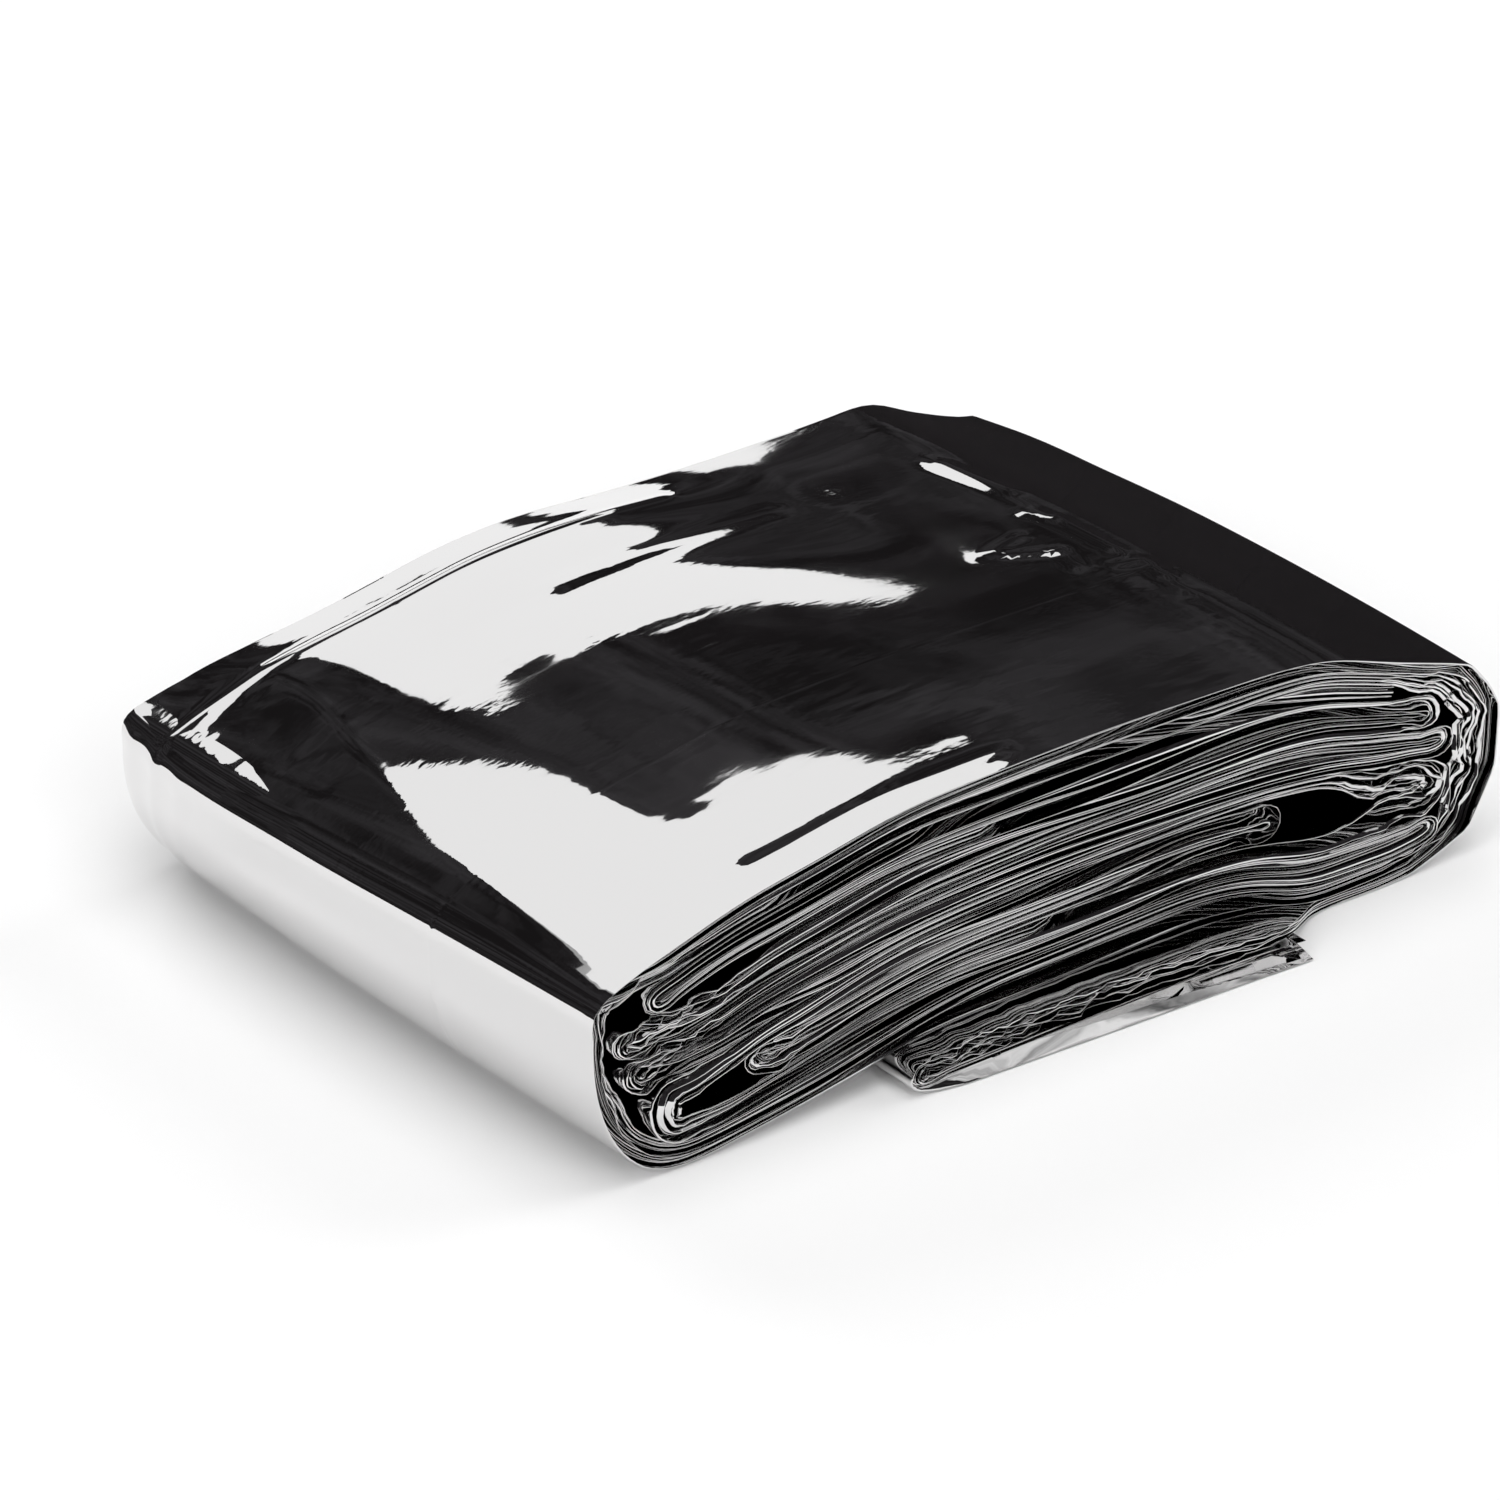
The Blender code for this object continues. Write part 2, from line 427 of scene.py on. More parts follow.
# Soft ridges that stand up from the top. Columns: u and y of one end, u and y
# of the other (y from the front end), width, height.
TOP_RIDGES = (
    (-2.0, 28.3, 126.0, 28.3, 0.30, 0.006),
    (2.0, 79.4, 70.0, 79.4, 0.90, 0.260),
    (12.0, 77.0, 62.0, 77.6, 0.80, 0.060),
    (98.0, 22.0, 98.8, 68.0, 1.30, 0.160),
    (24.0, 4.8, 57.0, 4.0, 1.20, 0.150),
    (46.0, 67.0, 76.0, 67.5, 2.00, 0.160),
    (99.0, 66.0, 100.2, 55.0, 1.10, 0.220),
    (97.0, 48.5, 98.5, 45.0, 1.00, 0.200),
    (98.5, 45.0, 98.7, 35.0, 1.00, 0.240),
    (86.0, 41.8, 91.9, 43.4, 0.90, 0.200),
    (87.3, 40.5, 92.8, 37.5, 0.90, 0.240),
    (92.8, 37.5, 91.8, 33.0, 0.90, 0.200),
    (96.0, 31.0, 99.5, 30.5, 0.90, 0.220),
    (99.5, 30.5, 98.9, 26.0, 0.90, 0.220),
)

# Soft hollows in the top. Columns: u and y of the middle (y from the front
# end), reach along u and along y, depth.
TOP_HOLLOWS = (
    (60.0, 68.0, 16.0, 9.0, 0.40),
)

# Start and length of the stretches in which the top takes over from the
# sides (along v), the side fades out (along u), and the hollows fade in and
# out (along y)
TOP_RISES = (21.0, 2.0)
SIDE_ENDS = (10.0, 4.0)
HOLLOWS_RISE = (8.0, 12.0)
HOLLOWS_END = (STRIP_WIDTH - 4.5, 5.0)

# Soft ridges on the left side. Columns: v and y of one end, v and y of the
# other, width, height.
SIDE_RIDGES = (
    (24.0, 28.3, 0.0, 28.3, 0.30, 0.070),
    (22.0, 85.0, 2.0, 86.0, 1.50, 0.300),
    (21.0, 79.5, 3.0, 81.5, 1.30, 0.260),
    (20.0, 74.5, 6.0, 76.5, 1.40, 0.160),
)

# Columns across the skin that lie closer together: y of the line, spacing.
CLOSE_COLUMNS = (
    (28.3, 0.22),
    (79.4, 0.40),
)
CLOSE_COUNT = 6

# Where the pleats spring open. Columns: u, v, reach along the strip, extra
# (added to the most half thickness), tousle (how tangled the layers are).
SWELLS = (
    (7.5, 8.0, 16.0, 1.9, 0.15),
    (116.5, 11.5, 19.0, 6.5, 0.50),
    (117.0, 20.0, 10.0, 0.6, 0.25),
    (21.0, 9.5, 9.0, 1.0, 0.45),
    (8.0, 17.0, 14.0, 0.8, 0.60),
    (8.0, 14.0, 12.0, 0.6, 0.60),
    (2.3, 17.0, 18.0, 1.6, 0.50),
    (4.4, 8.0, 9.0, 0.8, 0.40),
    (122.6, 15.0, 24.0, 3.2, 0.45),
    (120.0, 21.5, 9.0, 1.5, 0.35),
    (48.0, 3.4, 12.0, 0.5, 0.75),
    (60.0, 3.4, 22.0, 0.5, 0.50),
    (80.0, 3.4, 16.0, 0.6, 0.25),
)

# Where the strip is thin. Columns: u, v, reach, taken off the most half
# thickness.
THIN_PLACES = (
    (124.5, 14.0, 15.0, 0.68),
    (121.5, 5.5, 8.0, 0.50),
)

# Where the folds lie back in the dark, behind the outer skin. Columns: u, v,
# reach, depth, which holds all but the ends of the reach.
DRAWN_BACK = (
    (0.8, 14.0, 21.0, 2.4),
    (2.4, 14.0, 20.0, 2.0),
    (124.6, 14.0, 20.0, 1.6),
    (122.9, 14.0, 14.0, 0.5),
)
DRAWN_BACK_HOLDS = 1.5


def smooth(share):
    """A smooth step from 0 to 1 as the share goes from 0 to 1."""
    share = np.clip(share, 0.0, 1.0)
    return share * share * (3.0 - 2.0 * share)


def rising(x, stretch):
    """A smooth step from 0 to 1 over a stretch, given as start and length."""
    start, length = stretch
    return smooth((x - start) / length)


def falling(x, stretch):
    """A smooth step from 1 to 0 over a stretch, given as start and length."""
    start, length = stretch
    return smooth(1.0 - (x - start) / length)


def creased(share, bend):
    """A straight slope from 0 to 1 with only a narrow bend at its foot."""
    share = np.clip(share, 0.0, 1.0)
    foot = share * share / (2.0 * bend)
    return np.where(share < bend, foot, share - bend / 2.0) / (1.0 - bend / 2.0)


def bump(u, middle, half_width):
    """1 at the middle, falling smoothly to 0 at the half width."""
    return smooth(1.0 - abs(u - middle) / half_width)


def column(table, number):
    """One column of a table, as an array."""
    return np.array([row[number] for row in table])


def between(table, x, number):
    """Value of a column at x in the first column, on straight lines."""
    return np.interp(x, column(table, 0), column(table, number))


def eased(table, x, number):
    """Value of a column at x in the first column, on a smooth curve."""
    xs = column(table, 0)
    ys = column(table, number)
    steps = np.diff(xs)
    slopes = np.diff(ys) / steps
    ends = np.empty(len(xs))
    ends[0] = slopes[0]
    ends[-1] = slopes[-1]
    ends[1:-1] = (slopes[:-1] * steps[1:] + slopes[1:] * steps[:-1]) / (steps[1:] + steps[:-1])
    x = np.clip(x, xs[0], xs[-1])
    at = np.clip(np.searchsorted(xs, x, side="right") - 1, 0, len(steps) - 1)
    t = (x - xs[at]) / steps[at]
    return (
        ys[at] * (1 + 2 * t) * (1 - t) ** 2
        + ys[at + 1] * t * t * (3 - 2 * t)
        + ends[at] * steps[at] * t * (1 - t) ** 2
        - ends[at + 1] * steps[at] * t * t * (1 - t)
    )


def inward(index):
    """Unit vector into the bundle at a point of the wrap."""
    before = WRAP[index - 1]
    after = WRAP[(index + 1) % len(WRAP)]
    du = after[0] - before[0]
    dv = after[1] - before[1]
    length = math.hypot(du, dv)
    return -dv / length, du / length


def wrap_turn(turn):
    """Points of one turn of the wrap, each turn a pitch inside the last."""
    points = []
    for index, (u, v) in enumerate(WRAP):
        depth = float(turn)
        if index > len(WRAP) / 2 and v < DEPTH_RISES_BELOW_V:
            depth += float(rising(u, DEPTH_RISES))
        nu, nv = inward(index)
        points.append((u + PITCH * depth * nu, v + PITCH * depth * nv))
    return points


def layer_height(number, u, floor, ceiling):
    """Height of a layer at u: its share of the room inside the wrap."""
    low = between(floor, u, 1)
    high = between(ceiling, u, 1)
    room = [1.0] * len(LAYERS)
    for below, middle, half_width, extra in HOLLOWS:
        room[below] += extra * bump(u, middle, half_width)
    share = sum(room[:number]) / sum(room)
    height = low + (high - low) * share
    inside = 4.0 * share * (1.0 - share)
    for middle, half_width, rise, wavelength in CRUMPLES:
        wave = math.sin(2.0 * math.pi * (u - middle) / wavelength + number * CRUMPLE_SHIFT)
        height += inside * rise * bump(u, middle, half_width) * wave
    return height


def u_turn(start, end, outward):
    """Points of a fold between the ends of two layers, without its ends."""
    middle = (start[1] + end[1]) / 2.0
    radius = abs(end[1] - start[1]) / 2.0
    half_round = radius < HALF_ROUND_RADIUS
    steps = HALF_ROUND_STEPS if half_round else WIDE_FOLD_STEPS
    reach = outward * radius * (1.0 if half_round else WIDE_FOLD_REACH)
    points = []
    for step in range(1, steps):
        angle = math.pi * step / steps
        share = (1.0 - math.cos(angle)) / 2.0
        u = start[0] + (end[0] - start[0]) * share + reach * math.sin(angle)
        v = middle - (end[1] - start[1]) / 2.0 * math.cos(angle)
        points.append((u, v))
    return points


def strip_path():
    """Points (u, v, pull) of the strip's mid-surface, from its loose tail."""
    path = list(TAIL)
    turns = [wrap_turn(turn) for turn in range(TURNS)]
    for turn in turns:
        path += [(u, v, 0.0) for u, v in turn]
    last = turns[-1]
    ceiling = sorted(last[TOP_FROM:LEFT_FROM])
    floor = sorted(last[BOTTOM_FROM:])
    floor += [(u, v + PITCH * TURNS) for u, v in WRAP[:RIGHT_FROM]]
    floor.append(LAST_RUN_END)
    end_u = LAYERS[0][1]
    last_run = [(u, v) for u, v in floor if last[-1][0] < u < end_u]
    last_run.append((end_u, between(floor, end_u, 1)))
    path += [(u, v, 0.0) for u, v in last_run]
    outward = 1.0
    for number in ORDER:
        left, right = LAYERS[number]
        start_u, end_u = (right, left) if outward > 0 else (left, right)
        start = (start_u, layer_height(number, start_u, floor, ceiling))
        path += [(u, v, 0.0) for u, v in u_turn(path[-1], start, outward)]
        count = max(LEAST_LAYER_POINTS, round(abs(right - left) / LAYER_POINTS_APART))
        for u in np.linspace(start_u, end_u, count):
            path.append((u, layer_height(number, u, floor, ceiling), 0.0))
        outward = -outward
    return np.array(path)


def along(points):
    """Distance along a line at each of its points."""
    steps = np.hypot(np.diff(points[:, 0]), np.diff(points[:, 1]))
    return np.concatenate([[0.0], np.cumsum(steps)])


def blurred(values, spread):
    """Each column of values smoothed along the line, its ends kept."""
    reach = int(3 * spread) + 1
    weights = np.exp(-0.5 * (np.arange(-reach, reach + 1) / spread) ** 2)
    weights /= weights.sum()
    out = np.empty_like(values)
    for number in range(values.shape[1]):
        line = values[:, number]
        head = 2 * line[0] - line[reach:0:-1]
        foot = 2 * line[-1] - line[-2 : -reach - 2 : -1]
        out[:, number] = np.convolve(np.concatenate([head, line, foot]), weights, "valid")
    return out


def fine_path():
    """The strip's path as close points on a smooth curve."""
    coarse = strip_path()
    distance = along(coarse)
    table = np.column_stack([distance, coarse])
    fine_at = np.arange(0.0, distance[-1], FINE_STEP)
    tight = np.column_stack([eased(table, fine_at, number) for number in (1, 2, 3)])
    tight = blurred(tight, FOLD_BLUR / FINE_STEP)
    loose = blurred(tight, RUN_BLUR / FINE_STEP)
    faceted = np.column_stack([np.interp(fine_at, distance, part) for part in coarse.T])
    faceted = blurred(faceted, FACET_BLUR / FINE_STEP)
    bends = np.abs(curvature(tight)) > FOLD_CURVATURE
    near_fold = blurred(bends.astype(float)[:, None], FOLD_REACH / FINE_STEP)
    share = smooth(near_fold * FOLD_STRENGTH)
    wrap_end = wrap_start() + TURNS * along(np.array(WRAP))[-1]
    in_facets = (fine_at < wrap_end) & (tight[:, 0] > FACETED_FROM_U)
    angular = blurred(in_facets.astype(float)[:, None], FACETED_REACH / FINE_STEP)
    smoothed = tight * share + loose * (1.0 - share)
    return faceted * angular + smoothed * (1.0 - angular)


def curvature(points):
    """How sharply a line of points turns, for each millimetre along it."""
    du = np.gradient(points[:, 0])
    dv = np.gradient(points[:, 1])
    bend = du * np.gradient(dv) - dv * np.gradient(du)
    return bend / np.maximum(np.hypot(du, dv), 1e-9) ** 3


def wrap_start():
    """Distance along the strip at which its outer wrap starts."""
    return along(np.array(TAIL))[-1]


def stations(fine):
    """Indices of the fine points that become rows of the mesh."""
    bend = np.abs(blurred(curvature(fine)[:, None], BEND_BLUR)[:, 0])
    wanted = ROWS_ANYWHERE + ROWS_FOR_BENDS * np.sqrt(np.minimum(bend, SHARPEST_BEND))
    wanted += ROWS_FOR_TANGLES * np.sqrt(swells(fine)[1])
    first, last = skin_span(fine)
    wanted[first:last] = np.maximum(wanted[first:last], LEAST_ROWS_ON_SKIN)
    total = np.concatenate([[0.0], np.cumsum(wanted)])[:-1]
    targets = np.linspace(0.0, total[-1], STATIONS)
    return np.unique(np.clip(np.searchsorted(total, targets), 0, len(fine) - 1))


def wander(seed, distance, wavelength):
    """A smooth uneven line between about -1 and 1 along the strip."""
    rng = np.random.RandomState(seed)
    line = np.zeros_like(distance)
    for wave in range(WAVES):
        span = wavelength * rng.uniform(*WAVE_LENGTHS) / WAVE_SHORTER**wave
        start = rng.uniform(*WAVE_STARTS)
        line += np.sin(2 * np.pi * distance / span + start) / WAVE_WEAKER**wave
    return line / WAVE_SUM


def wandering(row, added_seed, distance):
    """A value that wanders along the strip, from a row of the tables above."""
    seed, usual, amount, wavelength = row
    return usual + amount * wander(seed + added_seed, distance, wavelength)


def nearest(fine, u, v):
    """Number of the fine point that lies nearest to (u, v)."""
    return int(np.argmin(np.hypot(fine[:, 0] - u, fine[:, 1] - v)))


def skin_span(fine):
    """First and last fine point of the outer turn from its right end to its left foot."""
    start = int(wrap_start() / FINE_STEP)
    half_turn = int(0.5 * along(np.array(WRAP))[-1] / FINE_STEP)
    right = WRAP[RIGHT_FROM - 1]
    left = WRAP[BOTTOM_FROM]
    first = start + int(np.argmin(np.hypot(*(fine[start : start + half_turn, :2] - right).T)))
    after = first + half_turn // 2
    last = after + int(np.argmin(np.hypot(*(fine[after : after + 2 * half_turn, :2] - left).T)))
    return first, last


def swells(fine):
    """Extra half thickness and tangle at each fine point."""
    at = np.arange(len(fine)) * FINE_STEP
    extra = np.zeros(len(fine))
    tousle = np.zeros(len(fine))
    for u, v, reach, amount, tangle in SWELLS:
        share = bump(at, at[nearest(fine, u, v)], reach)
        extra += amount * share
        tousle = np.maximum(tousle, tangle * np.sqrt(share))
    for u, v, reach, amount in THIN_PLACES:
        extra -= amount * bump(at, at[nearest(fine, u, v)], reach)
    return extra, tousle


def drawn_back(fine):
    """How far the folds lie back at each fine point."""
    at = np.arange(len(fine)) * FINE_STEP
    depth = np.zeros(len(fine))
    for u, v, reach, amount in DRAWN_BACK:
        depth += amount * smooth(DRAWN_BACK_HOLDS * bump(at, at[nearest(fine, u, v)], reach))
    return depth


def room_beside(fine):
    """Half the room beside the strip, on its outer and on its inner side."""
    numbers = np.arange(len(fine))
    sample = fine[::ROOM_STEP, :2]
    others = fine[::ROOM_OTHER_STEP, :2]
    tangent = np.gradient(fine[:, :2], axis=0)[::ROOM_STEP]
    tangent /= np.linalg.norm(tangent, axis=1, keepdims=True)
    normal = np.column_stack([-tangent[:, 1], tangent[:, 0]])
    apart = np.abs(numbers[::ROOM_STEP, None] - numbers[None, ::ROOM_OTHER_STEP])
    rel_u = others[None, :, 0] - sample[:, None, 0]
    rel_v = others[None, :, 1] - sample[:, None, 1]
    ahead = rel_u * tangent[:, :1] + rel_v * tangent[:, 1:]
    aside = rel_u * normal[:, :1] + rel_v * normal[:, 1:]
    beside = (apart * FINE_STEP > SAME_STRIP) & (np.abs(ahead) < BESIDE)
    halves = []
    for sign in (-1.0, 1.0):
        found = beside & (aside * sign > LEAST_ROOM)
        room = np.where(found, aside * sign, NO_ROOM_FOUND).min(axis=1)
        halves.append(np.interp(numbers, numbers[::ROOM_STEP], room) / 2.0)
    return halves


def half_thicknesses(fine):
    """The strip's half thickness on its outer and on its inner side."""
    extra, _ = swells(fine)
    most = np.maximum(MOST_HALF + extra, LEAST_HALF + MOST_ABOVE_LEAST)
    height = fine[:, 1]
    in_tail = np.arange(len(fine)) * FINE_STEP < wrap_start() - TAIL_ENDS_BEFORE
    on_ground = np.clip(height - TAIL_GROUND_GAP, LEAST_HALF, TAIL_MOST_HALF)
    tail_half = np.where(height < TAIL_LOWER_RUN_V, on_ground, TAIL_FREE_HALF)
    free = np.where(in_tail, tail_half, FREE_HALF)
    inner_free = np.where(in_tail, free, np.maximum(free, most * INNER_FREE_SHARE))
    window = int(THIN_REACH / FINE_STEP)
    sides = []
    for room, free_half in zip(room_beside(fine), (free, inner_free)):
        packed = np.clip(room - LAYER_GAP, LEAST_HALF, most)
        half = np.where(room > OPEN_ROOM, free_half, packed)
        padded = np.pad(half, window, mode="edge")
        lowest = np.lib.stride_tricks.sliding_window_view(padded, 2 * window + 1).min(axis=1)
        sides.append(blurred(lowest[:, None], THICKNESS_BLUR / FINE_STEP)[:, 0])
    return sides


def fold_offsets(folds, seed, distance, thickness, tousle, band=None):
    """For each fold of a table: its lower and upper side, and how far it juts."""
    thick = column(folds, 0)[:, None] * np.ones_like(distance)
    gap = column(folds, 1)[:, None] * np.ones_like(distance)
    for number in range(len(folds)):
        thick[number] *= np.exp(wandering(FOLD_THICKENS, seed + number, distance))
        gap[number] *= wandering(GAP_WIDENS, seed + number, distance)
    most = THICKEST_FOLD
    if band is not None:
        thick[-1] += TAIL_BAND_SHARE * band
        gap[-1] = 0.0
        most = THICKEST_FOLD + band * thickness
    total = (thick + gap).sum(axis=0)
    low = np.cumsum(thick + gap, axis=0) - thick - gap
    low = low / total * thickness
    high = low + np.minimum(thick / total * thickness, most)

    shared = wandering(FOLDS_TANGLE, seed, distance)
    shade = SHADE_DEPTH * smooth(wandering(FOLDS_LIE_BACK, seed, distance))
    shade = shade * (1.0 - np.clip(SHADE_ENDS * tousle, 0.0, 1.0))
    together = np.clip(COMES_TOGETHER * tousle, 0.0, 1.0)
    calm = 1.0 - TOGETHER_CALM * together
    jut = np.empty_like(low)
    for number, (_, _, usual, stray) in enumerate(folds):
        middle = (low[number] + high[number]) / 2.0 / thickness
        inside = 4.0 * middle * (1.0 - middle)
        own = wandering(FOLD_TANGLES, seed + number, distance)
        shift = inside * tousle * (shared + own) * thickness
        low[number] += shift
        high[number] += shift
        jut[number] = usual * (1.0 - together) - TOGETHER_DEPTH * together
        jut[number] += stray * calm * wandering(FOLD_STRAYS, seed + number, distance)
        jut[number] += tousle * wandering(FOLD_CRUMPLES, seed + number, distance)
        if 0 < number < len(folds) - 1:
            jut[number] -= shade
    return low, high, jut


def fold_section(fold, low, high, distance, band):
    """Five points round a fold, from its lower side up: offset and depth behind its tip."""
    thick = high - low
    tip = low + thick * wandering(TIP_SHARE, fold, distance)
    radius = wandering(TIP_RADIUS, fold, distance)
    radius = np.minimum(radius, thick * WIDEST_TIP_SHARE)
    slope = wandering(UPPER_SLOPE, fold, distance)
    points = (
        (low, LOWER_SLOPE * (tip - low)),
        (tip - radius / 2.0, TIP_DEPTH * radius),
        (tip, 0.0 * radius),
        (tip + radius, TIP_DEPTH * radius),
        (high, slope * (high - tip)),
    )
    flat = [low + thick * share for share in TAIL_BAND_POINTS]
    return [
        (offset * (1.0 - band) + level * band, depth)
        for (offset, depth), level in zip(points, flat)
    ]


def place(u, v, y):
    """Bundle coordinates in millimetres, shaped from front to back, in metres."""
    share = np.clip(y / HALF_WIDTH / 2.0 + 0.5, 0.0, 1.0)
    right_droop = rising(u, DROOP_TURNS)
    droop = eased(ACROSS, share, 1) * (1.0 - right_droop) + eased(ACROSS, share, 2) * right_droop
    change = (eased(BACK_HEIGHT, u, 1) - 1.0) * droop
    z = GROUND + (v - GROUND) * (1.0 + change * rising(v, HEIGHT_CHANGES))
    slope = creased(1.0 - (u - SHOULDER_U) / eased(SHOULDER, share, 2), SHOULDER_BEND)
    z = z - eased(SHOULDER, share, 1) * slope * rising(v, SINK_RISES)
    lean = eased(CREST_LEAN, share, 1) * bump(u, *CREST) * rising(v, LEAN_RISES)
    x = u - LENGTH / 2.0 + lean
    to_right = smooth(u / LENGTH)
    x = x + eased(ACROSS, share, 3) * (1.0 - to_right) - eased(ACROSS, share, 4) * to_right
    x = x + TO_ORIGIN[0]
    return np.stack([x, y + TO_ORIGIN[1], np.maximum(z, 0.0)], axis=-1) * MM


def skin_shares():
    """Places of the skin's columns across the strip, from its back end to its front."""
    shares = [np.linspace(*SKIN_ENDS, SKIN_COLUMNS)]
    steps = np.arange(CLOSE_COUNT) - (CLOSE_COUNT - 1) / 2
    for y, spacing in CLOSE_COLUMNS:
        shares.append((y + spacing * steps - STRIP_WIDTH / 2) / HALF_WIDTH)
    return np.sort(np.concatenate(shares))[::-1]


def ridge(a, b, row):
    """Height of one ridge of a table at the points (a, b)."""
    a1, b1, a2, b2, width, height = row
    length = math.hypot(a2 - a1, b2 - b1)
    da, db = (a2 - a1) / length, (b2 - b1) / length
    ahead = np.clip((a - a1) * da + (b - b1) * db, 0.0, length)
    away = np.hypot(a - a1 - ahead * da, b - b1 - ahead * db)
    return height * np.exp(-((away / width) ** 2))


def skin_relief(u, v, y):
    """How far the skin stands out at (u, v) and y from the front end."""
    on_top = rising(v, TOP_RISES)
    on_side = (1.0 - on_top) * falling(u, SIDE_ENDS)
    out = np.zeros(np.broadcast(u, y).shape)
    for row in TOP_RIDGES:
        out = out + on_top * ridge(u, y, row)
    for row in SIDE_RIDGES:
        out = out + on_side * ridge(v, y, row)
    inside = on_top * rising(y, HOLLOWS_RISE) * falling(y, HOLLOWS_END)
    for at_u, at_y, reach_u, reach_y, depth in TOP_HOLLOWS:
        away = ((u - at_u) / reach_u) ** 2 + ((y - at_y) / reach_y) ** 2
        out = out - inside * depth * np.exp(-away)
    return out


def pleat_columns(u, distance, thickness, tousle, lies_back):
    """Columns of points across the strip, each as offset from its outer side and y.

    Also the numbers of the columns with crisp edges.
    """
    band = falling(distance, TAIL_BAND_ENDS)
    lean = between(TAIL_BAND_LEAN, u, 1)
    sag = wandering(BAND_SAGS, 0, distance)
    front = fold_offsets(FRONT_FOLDS, FRONT_SEED, distance, thickness, tousle, band)
    back = fold_offsets(BACK_FOLDS, BACK_SEED, distance, thickness, tousle * BACK_TANGLE)
    columns = [(0.0, HALF_WIDTH * share) for share in skin_shares()[[0, -1]]]
    crisp = []
    for fold in range(FOLDS):
        at_front = fold % 2 == 0
        low, high, jut = (part[fold // 2] for part in (front if at_front else back))
        is_last = fold == FOLDS - 1
        section = fold_section(fold, low, high, distance, band if is_last else 0.0)
        if not at_front:
            section = section[::2]
        crisp += [len(columns), len(columns) + len(section) - 1]
        for offset, depth in section:
            out = jut - depth
            if fold > 0:
                out = out - lies_back
            if is_last:
                forward = (high - offset) / (high - low)
                forward_out = lean * forward + sag * forward * (1.0 - forward)
                out = out * (1.0 - band) - band * forward_out
            elif at_front:
                out = out - band * lean
            toward = -1.0 if at_front else 1.0
            columns.append((offset, toward * (HALF_WIDTH + out)))
    columns.append((thickness, HALF_WIDTH * SKIN_ENDS[0]))
    return columns, crisp


def film_points():
    """Points of the pleats (rows, columns, 3) and of the dense outer skin.

    Also the flat coordinates down the strip (of both) and across it, the first
    and last row that the dense skin covers, and the columns with crisp edges.
    """
    fine = fine_path()
    rows = stations(fine)
    distance = rows * FINE_STEP
    u, v, pull = fine[rows].T
    along_u = np.gradient(fine[:, 0])
    along_v = np.gradient(fine[:, 1])
    length = np.hypot(along_u, along_v)
    normal = np.stack([-along_v / length, along_u / length])
    nu, nv = normal[:, rows]
    outer, inner = half_thicknesses(fine)
    tousle = swells(fine)[1][rows]
    lies_back = drawn_back(fine)[rows]
    into_wrap = distance - wrap_start()
    in_turns = falling(into_wrap, WRAP_TURNS_END) * rising(into_wrap, WRAP_SETS_IN)
    edge = wandering(EDGE_STRAYS, 0, distance) * (1.0 - EDGE_CALM * in_turns) - EDGE_IN

    thickness = (outer + inner)[rows]
    columns, crisp = pleat_columns(u, distance, thickness, tousle, lies_back)
    points = []
    for offset, y in columns:
        into = offset - outer[rows]
        points.append(place(u + nu * into, v + nv * into, y + edge - pull))
    points = np.stack(points, axis=1)

    first, last = np.searchsorted(rows, skin_span(fine))
    coarse = rows[first : last + 1]
    at = np.sort(np.concatenate([coarse, (coarse[:-1] + coarse[1:]) // 2]))
    y = skin_shares()[None, :] * HALF_WIDTH + np.interp(at, rows, edge)[:, None]
    skin_u, skin_v = (fine[at, :2].T - normal[:, at] * outer[at])[..., None]
    relief = skin_relief(skin_u, skin_v, y + STRIP_WIDTH / 2)
    out_u, out_v = normal[:, at, None]
    skin = place(skin_u - out_u * relief, skin_v - out_v * relief, y)
    across = np.linalg.norm(np.diff(points, axis=1), axis=2).mean(axis=0)
    across = np.concatenate([[0.0], np.cumsum(across)])
    return points, skin, (distance * MM, at * FINE_STEP * MM), across, (first, last), crisp


def quads(grid):
    """Faces between the rows and columns of a grid of point numbers."""
    corners = (grid[:-1, :-1], grid[:-1, 1:], grid[1:, 1:], grid[1:, :-1])
    return np.stack(corners, axis=-1).reshape(-1, 4).tolist()


def seams(coarse, close):
    """Faces that join a line of points to one with twice as many rows."""
    faces = []
    for k in range(len(coarse) - 1):
        here, after = coarse[k], coarse[k + 1]
        first, middle, last = close[2 * k : 2 * k + 3]
        faces += [(here, first, middle), (here, middle, after), (after, middle, last)]
    return faces


def fan(line, plain):
    """Faces that join a close line of points to the two points of a plain row."""
    half = len(line) // 2
    faces = []
    for k in range(len(line) - 1):
        faces.append((plain[0] if k < half else plain[1], line[k], line[k + 1]))
    faces.append((plain[0], line[half], plain[1]))
    return faces


def film_faces(index, skin_index, first, last):
    """Faces of the pleats and of the dense skin, joined all round the skin."""
    back, front = index[first : last + 1, :2].T
    faces = quads(index[:, 1:]) + quads(skin_index)
    faces += quads(index[:first, :2]) + quads(index[last + 1 :, :2])
    faces += seams(back, skin_index[:, 0])
    faces += [face[::-1] for face in seams(front, skin_index[:, -1])]
    starts = np.concatenate([back[:1], skin_index[0], front[:1]])
    ends = np.concatenate([back[-1:], skin_index[-1], front[-1:]])
    faces += [face[::-1] for face in fan(starts, index[first - 1])]
    faces += fan(ends, index[last + 1])
    return [tuple(int(corner) for corner in face) for face in faces]


def flat_places(down, across):
    """Flat coordinates at every crossing of a row and a column."""
    return np.stack(np.meshgrid(down, across, indexing="ij"), axis=-1).reshape(-1, 2)


